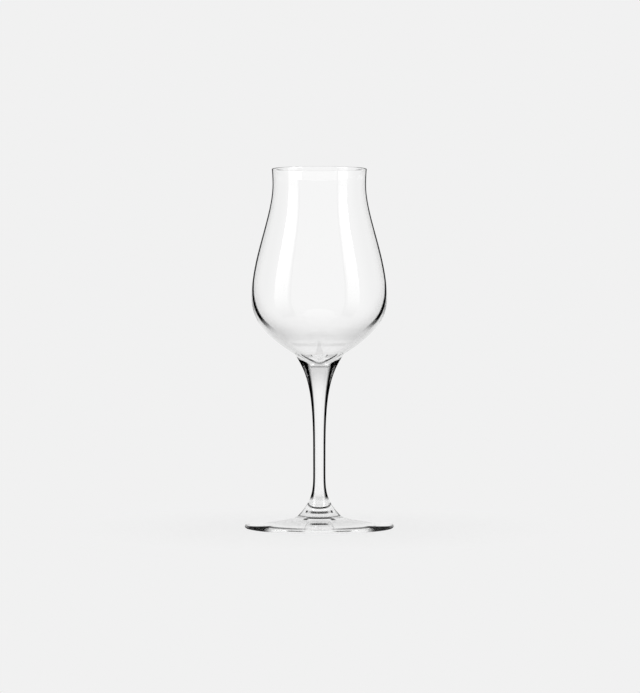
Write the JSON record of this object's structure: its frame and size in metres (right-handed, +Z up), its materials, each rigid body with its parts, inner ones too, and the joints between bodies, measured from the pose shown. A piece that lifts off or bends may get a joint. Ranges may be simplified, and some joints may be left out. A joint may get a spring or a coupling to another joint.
{
  "type": "whisky nosing glass",
  "caption": "Clear stemmed nosing glass: a tulip bowl with a slightly flared lip, a slim flared stem and a wide thin round foot with a raised cone.",
  "frame": {"origin": "middle of the foot on the surface that the glass stands on", "axes": "+Z up along the axis that the glass is turned about, from the foot to the mouth; X and Y are alike"},
  "size_m": [0.0728, 0.0728, 0.175],
  "materials": {
    "bowl_glass": "blown, fire-polished clear crystal glass",
    "stem_glass": "drawn, fire-polished clear crystal glass",
    "foot_glass": "pressed, fire-polished clear crystal glass"
  },
  "bodies": {
    "root": {"bowl": "bowl_glass", "stem": "stem_glass", "foot": "foot_glass"}
  },
  "joints": []
}
